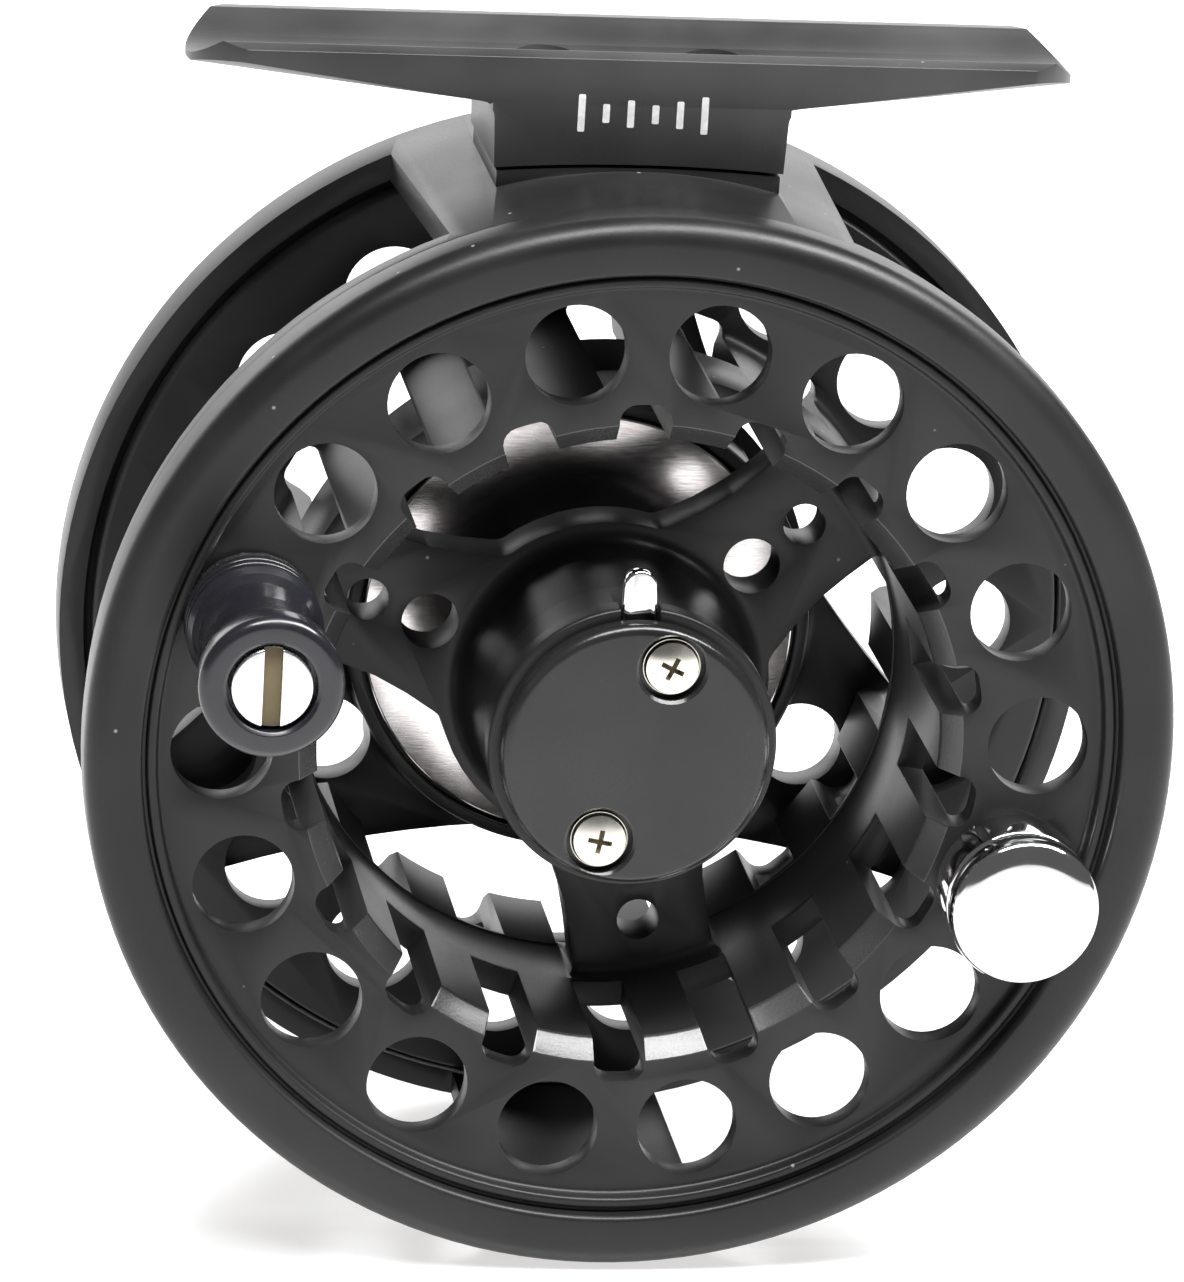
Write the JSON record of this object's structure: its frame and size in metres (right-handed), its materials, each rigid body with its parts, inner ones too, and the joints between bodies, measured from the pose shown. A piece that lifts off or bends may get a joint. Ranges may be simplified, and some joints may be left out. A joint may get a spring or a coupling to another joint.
{
  "type": "fly fishing reel",
  "caption": "Ported large-arbor fly reel: caged frame with saddle foot, rimmed quick-release spool with handle and counterweight, and a disc drag with rear knob.",
  "frame": {"origin": "middle of the flat strip along the bottom of the foot's saddle, where the rod's reel seat bears", "axes": "+Z out of the foot into the rod, -Y towards the handle side of the reel, X along the foot and the rod"},
  "size_m": [0.075, 0.0632, 0.0828],
  "materials": {
    "frame_black": "matte black anodised",
    "spool_black": "satin charcoal anodised",
    "knob_black": "glossy black",
    "steel": "brushed",
    "nickel": "warm nickel plate",
    "chrome": "mirror",
    "brass": "turned",
    "friction": "matt drag washer"
  },
  "bodies": {
    "frame": {"frame": "frame_black", "reel_foot": "frame_black", "foot_screw_left": "steel", "foot_screw_right": "steel", "spindle": "steel", "spindle_clip": "steel", "spindle_nut": "steel", "drag_cover_disc": "steel", "friction_washer_front": "friction", "friction_washer_rear": "friction", "pressure_plate": "steel", "thrust_washer": "steel", "spring_washer_front": "steel", "spring_washer_rear": "steel", "click_ball": "steel", "click_spring": "steel"},
    "drag_rotor": {"drag_rotor": "steel", "one_way_clutch": "steel"},
    "drive_sleeve": {"drive_sleeve": "steel"},
    "spool": {"spool_front_flange": "spool_black", "spool_arbor": "spool_black", "spool_rear_flange": "spool_black", "spool_hub": "spool_black", "hub_bushing": "brass", "latch_cover": "frame_black", "cover_screw_upper": "nickel", "cover_screw_lower": "nickel", "latch_spring": "steel", "handle_sleeve": "brass", "handle_washer": "steel", "handle_screw": "steel", "handle_nut": "steel", "counterweight": "chrome", "counterweight_screw": "steel"},
    "release_latch": {"release_latch": "chrome"},
    "handle_knob": {"handle_knob": "knob_black"},
    "drag_knob": {"drag_knob": "frame_black", "knob_screw": "steel"},
    "drag_nut": {"drag_nut": "steel"}
  },
  "joints": [
    {"name": "drag_slip", "type": "hinge", "parent": "frame", "child": "drag_rotor", "pos_m": [0, -0.0208, -0.0435], "axis": [0, 1, 0], "continuous": true},
    {"name": "spool_spin", "type": "hinge", "parent": "frame", "child": "drive_sleeve", "pos_m": [0, -0.0208, -0.0435], "axis": [0, 1, 0], "continuous": true},
    {"name": "spool_release", "type": "slide", "parent": "drive_sleeve", "child": "spool", "axis": [0, -1, 0], "range_m": [0, 0.034]},
    {"name": "handle_spin", "type": "hinge", "parent": "spool", "child": "handle_knob", "pos_m": [-0.02659, -0.0208, -0.0344], "axis": [0, 1, 0], "continuous": true},
    {"name": "latch_press", "type": "slide", "parent": "spool", "child": "release_latch", "axis": [0, 0, -1], "range_m": [0, 0.0007], "stiffness_N_per_m": 200, "springref_m": -0.0005, "deforming": ["latch_spring"]},
    {"name": "drag_adjust", "type": "hinge", "parent": "frame", "child": "drag_knob", "pos_m": [0, -0.0208, -0.0435], "axis": [0, 1, 0], "range_deg": [0, 330]},
    {"name": "drag_nut_travel", "type": "slide", "parent": "frame", "child": "drag_nut", "axis": [0, -1, 0], "range_m": [0, 0.0005]}
  ],
  "couplings": [
    {"joint": "drag_nut_travel", "follows": "drag_adjust", "m_per_rad": 0.00008}
  ]
}
